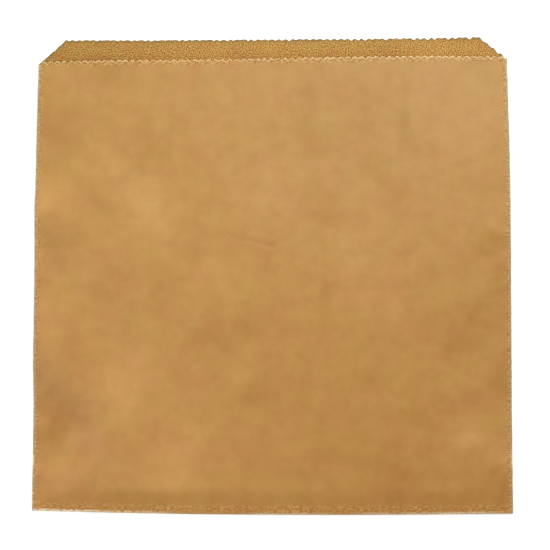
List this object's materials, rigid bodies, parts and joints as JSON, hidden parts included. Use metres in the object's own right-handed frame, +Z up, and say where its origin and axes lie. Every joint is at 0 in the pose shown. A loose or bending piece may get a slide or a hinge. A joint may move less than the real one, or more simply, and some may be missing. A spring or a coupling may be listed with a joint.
{
  "type": "paper sandwich bag",
  "caption": "Flat square brown kraft paper bag with a serrated mouth, a raised back lip with slanted corners, and a folded and glued bottom.",
  "frame": {"origin": "under the centre of the bag's outline, on the surface that it lies on", "axes": "+Z up through the two panels, from the seamed back that the bag lies on to the plain front; +Y from the folded bottom to the open mouth; +X to the right as seen from above"},
  "size_m": [0.215, 0.2156, 0.008],
  "materials": {
    "kraft_paper": "smooth machine-glazed brown kraft outside, rougher and darker inside"
  },
  "bodies": {
    "root": {"paper_bag": "kraft_paper"}
  },
  "joints": []
}
